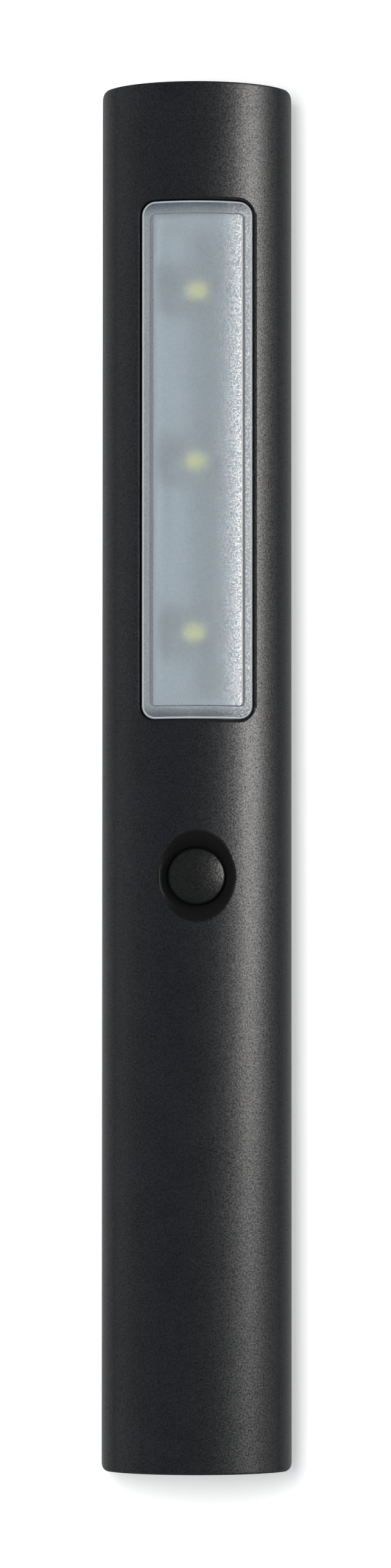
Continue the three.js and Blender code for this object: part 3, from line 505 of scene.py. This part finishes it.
def frostedPanel():
    s = lensSet
    bm = bmesh.new()
    half = (lensHigh - lensLow) / 2
    middle = (lensHigh + lensLow) / 2
    outline = Matrix.Translation((0, middle.y, -s["thick"])) @ Matrix.Diagonal((half.x, half.y, 1, 1))
    bmesh.ops.create_grid(bm, x_segments=1, y_segments=1, size=1, matrix=outline)
    bmesh.ops.bevel(bm, geom=bm.verts[:], offset=s["corner"], affect="VERTICES", segments=s["cornerSteps"],
                    profile=0.5, material=-1)
    raised = bmesh.ops.extrude_face_region(bm, geom=bm.faces[:])["geom"]
    top = [g for g in raised if isinstance(g, bmesh.types.BMFace)]
    lifted = [g for g in raised if isinstance(g, bmesh.types.BMVert)]
    bmesh.ops.translate(bm, verts=lifted, vec=(0, 0, s["thick"] - s["rim"]))
    bmesh.ops.recalc_face_normals(bm, faces=bm.faces)
    for face in bm.faces:  # the inner side is polished
        face.material_index = onInner if face.normal.z < -s["level"] else onBorder
    for turn in s["rimTurns"]:  # quarter round of the rim
        here, after = math.radians(turn), math.radians(turn + s["rimTurn"])
        inward = s["rim"] * (math.cos(here) - math.cos(after))
        stepIn(bm, top, inward, s["rim"] * (math.sin(after) - math.sin(here)), onRim)
    stepIn(bm, top, s["side"] - s["slope"] - s["rim"], 0, onBorder)
    for vert in top[0].verts:  # the border is wider at its ends
        vert.co.y -= math.copysign(s["end"] - s["side"], vert.co.y - middle.y)
    for inward, up, look in s["rings"]:
        stepIn(bm, top, inward * s["slope"], up * s["rise"], look)
        for vert in top[0].verts:  # steeper at its ends
            vert.co.y += math.copysign(inward * s["slope"] * s["short"], vert.co.y - middle.y)
    for face in top:
        face.material_index = onPanel
    strips = int(half.x / s["strip"])
    for strip in range(-strips, strips + 1):
        cutThrough(bm, (strip * s["strip"], 0, 0), (1, 0, 0))
    bmesh.ops.translate(bm, verts=bm.verts, vec=(s["right"], 0, 0))
    for vert in bm.verts:
        vert.co.z = springLine + math.sqrt((bodyRadius - s["sink"] + vert.co.z) ** 2 - vert.co.x ** 2)
    smoothed(bm, 50)
    openEdges = sum(1 for e in bm.edges if len(e.link_faces) != 2)
    looks = [lensBorder, lensPanel, lensStep, lensInner, lensRim]
    piece = settled(bm, "lensFrosted", "body", looks, "frosted_lens", "lens")
    bendNormals(piece, onBend)
    return openEdges


print("lens open edges:", frostedPanel())


def turnedPiece(profile, sides, centre, tilt=0, closed=False):  # (radius, height) pairs spun all round
    bm = bmesh.new()
    verts = [bm.verts.new((radius, 0, height)) for radius, height in profile]
    after = verts[1:] + verts[:1] if closed else verts[1:]
    edges = [bm.edges.new(pair) for pair in zip(verts, after)]
    bmesh.ops.spin(bm, geom=verts + edges, cent=(0, 0, 0), axis=(0, 0, 1), angle=2 * math.pi, steps=sides,
                   use_merge=True)
    bmesh.ops.remove_doubles(bm, verts=bm.verts, dist=meshSet["join"])
    bmesh.ops.recalc_face_normals(bm, faces=bm.faces)
    turn = Matrix.Rotation(math.radians(tilt), 3, "X")
    bmesh.ops.rotate(bm, verts=bm.verts, cent=(0, 0, 0), matrix=turn)
    bmesh.ops.translate(bm, verts=bm.verts, vec=centre)
    return bm


# button: domed, with a rounded shoulder and the flange that keeps it in
buttonSet = {
    "radius": 3.73 * mm, "dome": 1.1 * mm, "domeSteps": 16, "shoulder": 0.35 * mm, "shoulderSteps": 6,
    "flange": 0.7 * mm, "broken": 0.1 * mm, "sides": 96}


def pushButton():
    s = buttonSet
    height = capHigh.z - capLow.z
    sphere = (s["radius"] ** 2 + s["dome"] ** 2) / (2 * s["dome"])
    edgeAngle = math.asin((s["radius"] - s["shoulder"]) / sphere)
    edge = Vector((sphere * math.sin(edgeAngle), height - sphere * (1 - math.cos(edgeAngle))))
    corner = Vector((s["radius"], edge.y - s["shoulder"] * math.tan(edgeAngle)))
    start = Vector((s["radius"], corner.y - s["shoulder"]))
    profile = [(0, 0), (capHigh.x - s["broken"], 0), (capHigh.x, s["broken"])]
    profile += [(capHigh.x, s["flange"]), (s["radius"], s["flange"])]
    for step in range(s["shoulderSteps"] + 1):  # shoulder, from the side to the dome
        t = step / s["shoulderSteps"]
        profile.append(tuple(start * (1 - t) ** 2 + corner * 2 * t * (1 - t) + edge * t ** 2))
    for step in range(1, s["domeSteps"]):
        angle = edgeAngle * (1 - step / s["domeSteps"])
        profile.append((sphere * math.sin(angle), height - sphere * (1 - math.cos(angle))))
    profile.append((0, height))
    bm = turnedPiece(profile, s["sides"], (0, buttonY, capLow.z))
    smoothed(bm, 50)
    settled(bm, "buttonDomed", "button", [buttonAbs], "button_abs", "button_cap")


pushButton()

# cells: steel can with rolled ends, in a sleeve that laps over both of them
cellSet = {
    "sleeve": 0.05 * mm, "lap": 0.9 * mm, "roll": 0.5 * mm, "rollSteps": 4, "edge": 0.02 * mm, "sides": 72,
    "dish": 0.12 * mm, "dishEdge": (0.5 * mm, 0.3 * mm),  # minus end, and how far from the sleeve it slopes
    "seat": 0.25 * mm, "seatEdge": (0.4 * mm, 0.7 * mm), "foot": (0.3 * mm, 0.1 * mm),  # round the plus nub
    "nub": 1.9 * mm, "nubHeight": 1 * mm, "nubRound": (0.08 * mm, 0.25 * mm)}


def dryCell(name, nubUp):
    s = cellSet
    low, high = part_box(name)
    centre = (low + high) / 2
    radius = (high.x - low.x) / 2
    length = high.y - low.y
    can = length - s["nubHeight"]
    bare = radius - s["lap"]
    profile = [(0, s["dish"]), (bare - s["dishEdge"][0], s["dish"]), (bare - s["dishEdge"][1], s["sleeve"])]
    profile.append((bare, s["sleeve"]))
    for bottom in (True, False):
        for step in range(s["rollSteps"] + 1):  # sleeve shrunk round the rolled edge
            angle = math.pi / 2 * step / s["rollSteps"]
            angle = angle if bottom else math.pi / 2 - angle
            along = s["roll"] * (1 - math.cos(angle))
            profile.append((radius - s["roll"] + s["roll"] * math.sin(angle),
                            along if bottom else can - along))
    profile += [(bare, can), (bare, can - s["sleeve"]), (bare - s["seatEdge"][0], can - s["sleeve"])]
    profile += [(bare - s["seatEdge"][1], can - s["seat"]), (s["nub"] + s["foot"][0], can - s["seat"])]
    profile += [(s["nub"], can - s["foot"][1]), (s["nub"], length - s["nubRound"][1])]
    profile += [(s["nub"] - s["nubRound"][0], length - s["nubRound"][0]),
                (s["nub"] - s["nubRound"][1], length)]
    profile.append((0, length))
    place = (centre.x, low.y if nubUp else high.y, centre.z)
    bm = turnedPiece(profile, s["sides"], place, -90 if nubUp else 90)
    for face in bm.faces:  # bare steel inside the sleeve's lap
        at = face.calc_center_median()
        face.material_index = 1 if math.hypot(at.x - centre.x, at.z - centre.z) < bare - s["edge"] else 0
    smoothed(bm, 35)
    settled(bm, name + ".made", "body", [cellSleeve, nickelSheet], "cell_sleeve", name)


dryCell("battery_1", True)
dryCell("battery_2", False)


def tube(name, points, radius, body, material, slot, node, around=6):  # round wire along a smooth route
    route = bpy.data.curves.new(name, "CURVE")
    route.dimensions = "3D"
    route.bevel_depth = radius
    route.bevel_resolution = around
    route.resolution_u = 8
    route.use_fill_caps = True
    spline = route.splines.new("BEZIER")
    spline.bezier_points.add(len(points) - 1)
    for knot, point in zip(spline.bezier_points, points):
        knot.co = point
        knot.handle_left_type = knot.handle_right_type = "AUTO"
    guide = bpy.data.objects.new(name + "Route", route)
    bpy.context.scene.collection.objects.link(guide)
    bpy.context.view_layer.update()
    bm = bmesh.new()
    bm.from_mesh(bpy.data.meshes.new_from_object(guide.evaluated_get(bpy.context.evaluated_depsgraph_get())))
    bpy.data.objects.remove(guide)
    bmesh.ops.remove_doubles(bm, verts=bm.verts, dist=meshSet["join"])
    bmesh.ops.recalc_face_normals(bm, faces=bm.faces)
    smoothed(bm, 60)
    settled(bm, name, body, [material], slot, node)


# conical contact springs, wide at the plate and narrow at the cell
springSet = {
    "x": 5.4 * mm, "z": 7.55 * mm, "base": 3.3 * mm, "tip": 2 * mm, "wire": 0.3 * mm,
    "turns": 4, "perTurn": 16, "around": 3}


def contactSpring(name, side, start, stop):
    s = springSet
    count = s["turns"] * s["perTurn"]
    points = []
    for step in range(count + 1):
        share = step / count
        radius = s["base"] + (s["tip"] - s["base"]) * share
        angle = 2 * math.pi * s["turns"] * share
        across = side * s["x"] + radius * math.cos(angle)
        points.append((across, start + (stop - start) * share, s["z"] + radius * math.sin(angle)))
    tube(name + ".made", points, s["wire"], "body", musicWire, "spring_wire", name, s["around"])


low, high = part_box("spring_bridge")
contactSpring("spring_bridge", -1, low.y + springSet["wire"], high.y - springSet["wire"])
low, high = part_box("spring_negative")
contactSpring("spring_negative", 1, high.y - springSet["wire"], low.y + springSet["wire"])

# leads from the contacts' tabs to the end of the board, as (y, z) in mm
wireSet = {
    "radius": 0.6 * mm,
    "route": ((-36.65, 11.75), (-33.95, 11.75), (-28.3, 11.78), (-23.25, 10.9), (-19.65, 10.6))}
for name, material, slot in (("wire_positive", redVinyl, "red_wire"),
                             ("wire_negative", blackVinyl, "black_wire")):
    low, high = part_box(name)
    points = [((low.x + high.x) / 2, y * mm, z * mm) for y, z in wireSet["route"]]
    tube(name + ".made", points, wireSet["radius"], "body", material, slot, name)

# copper winding between the discs of the inductor, with a small gap to each
windingSet = {
    "core": 1.22 * mm, "wire": 0.15 * mm, "layers": 2.2, "disc": 0.55 * mm, "gap": 0.02 * mm,
    "bulgeSteps": 6, "sides": 48}


def winding():
    s = windingSet
    low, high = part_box("inductor")
    height = high.z - low.z - 2 * s["disc"] - 2 * s["gap"]
    turns = int(height / (2 * s["wire"]))
    pitch = height / turns
    outer = s["core"] + 2 * s["wire"] * s["layers"]
    profile = [(s["core"], 0)]
    for turn in range(turns):
        for step in range(s["bulgeSteps"] + 1):
            angle = math.pi * step / s["bulgeSteps"]
            profile.append((outer + s["wire"] * math.sin(angle),
                            pitch * (turn + 0.5) - pitch / 2 * math.cos(angle)))
    profile.append((s["core"], height))
    place = ((low.x + high.x) / 2, (low.y + high.y) / 2, low.z + s["disc"] + s["gap"])
    bm = turnedPiece(profile, s["sides"], place, closed=True)
    smoothed(bm, 50)
    settled(bm, "inductorWinding", "body", [copperWire], "ferrite")


winding()
dressedCopy("inductor", "body", "ferrite", [ferrite], 0.08 * mm)
print("inside pieces made")

# white paper floor: seen white, it keeps the shadow, and from below it is clear so that the back shows
floorSet = {"size": 10, "below": 0.05 * mm, "paper": "f2f2f2", "lift": 0.36}


def paperFloor():
    material, tree, output, place = newMaterial("paper, matt white")
    path = addNode(tree, "LightPath").outputs
    seen = worked(tree, "MAXIMUM", path["Is Camera Ray"], path["Is Glossy Ray"])
    seen = worked(tree, "MAXIMUM", seen, path["Is Transmission Ray"])
    lift = worked(tree, "MULTIPLY", seen, floorSet["lift"])
    matt = addNode(tree, "BsdfDiffuse", {"Color": linear(floorSet["paper"])})
    light = addNode(tree, "Emission", {"Strength": lift})
    both = addNode(tree, "AddShader", {0: matt.outputs[0], 1: light.outputs[0]})
    under = addNode(tree, "NewGeometry").outputs["Backfacing"]
    through = addNode(tree, "BsdfTransparent")
    clear = addNode(tree, "MixShader", {0: under, 1: both.outputs[0], 2: through.outputs[0]})
    tree.links.new(clear.outputs[0], output.inputs[0])
    bm = bmesh.new()
    level = Matrix.Translation((0, 0, -floorSet["below"]))
    bmesh.ops.create_grid(bm, x_segments=1, y_segments=1, size=floorSet["size"], matrix=level)
    mesh = bpy.data.meshes.new("paperFloor")
    bm.to_mesh(mesh)
    bm.free()
    mesh.materials.append(material)
    floor = bpy.data.objects.new("paperFloor", mesh)
    bpy.context.scene.collection.objects.link(floor)


paperFloor()

# studio: an even dim room, dimmer overhead, a low softbox at the right with a dimmer top
# for the long highlight, and a lamp overhead and a little to the left for the shadow
roomSet = {"colour": "f1f3f6", "strength": 0.46, "top": 0.6, "heights": (0.6, 0.95)}
softbox = {"place": (0.33, 0.065, 0.12), "size": (0.17, 0.06), "power": 2.5, "colour": "fffcf8"}
softTop = {"place": (0.3, 0.03, 0.3), "size": (0.09, 0.2), "power": 0.22, "colour": "fffaf5"}
keyLamp = {"place": (-0.145, 0.04, 0.9), "size": (0.26, 0.2), "power": 4.7, "colour": "ffffff"}
aimHeight = 0.012  # on the body, where the softboxes face it


def room():
    world = bpy.data.worlds.new("room")
    bpy.context.scene.world = world
    world.use_nodes = True
    tree = world.node_tree
    tree.nodes.clear()
    way = addNode(tree, "TexCoord").outputs["Generated"]
    height = addNode(tree, "SeparateXYZ", {0: way}).outputs[2]
    overhead = roomSet["strength"] * roomSet["top"]
    level = mapped(tree, height, *roomSet["heights"], roomSet["strength"], overhead)
    back = addNode(tree, "Background", {"Color": linear(roomSet["colour"]), "Strength": level})
    output = addNode(tree, "OutputWorld")
    tree.links.new(back.outputs[0], output.inputs[0])


def areaLamp(name, settings, target):
    light = bpy.data.lights.new(name, "AREA")
    light.shape = "RECTANGLE"
    light.size, light.size_y = settings["size"]
    light.energy = settings["power"]
    light.color = linear(settings["colour"])[:3]
    lamp = bpy.data.objects.new(name, light)
    bpy.context.scene.collection.objects.link(lamp)
    lamp.location = settings["place"]
    lamp.rotation_euler = (Vector(target) - Vector(settings["place"])).to_track_quat("-Z", "Y").to_euler()
    return lamp


room()
for name, settings in (("softbox", softbox), ("softTop", softTop)):
    areaLamp(name, settings, (0, settings["place"][1], aimHeight)).visible_diffuse = False
areaLamp("keyLamp", keyLamp, (0, 0, 0)).visible_glossy = False

# camera, fitted to the outline and the features in the photograph
cameraSet = {
    "place": (4.44 * mm, -37.87 * mm, 894.7 * mm), "turn": (0.0419, 0.0052, 0.0001),
    "focal": 11046.2, "longSide": 2576, "sensor": 36, "nearest": 0.01}  # focal and longSide in photo pixels


def photoCamera():
    data = bpy.data.cameras.new("photoCamera")
    data.sensor_width = cameraSet["sensor"]
    data.lens = cameraSet["focal"] / cameraSet["longSide"] * cameraSet["sensor"]
    data.clip_start = cameraSet["nearest"]
    camera = bpy.data.objects.new("photoCamera", data)
    bpy.context.scene.collection.objects.link(camera)
    camera.location = cameraSet["place"]
    camera.rotation_mode = "ZYX"
    camera.rotation_euler = cameraSet["turn"]
    bpy.context.scene.camera = camera


photoCamera()
bpy.context.scene.view_settings.view_transform = "Standard"
print("stage set")
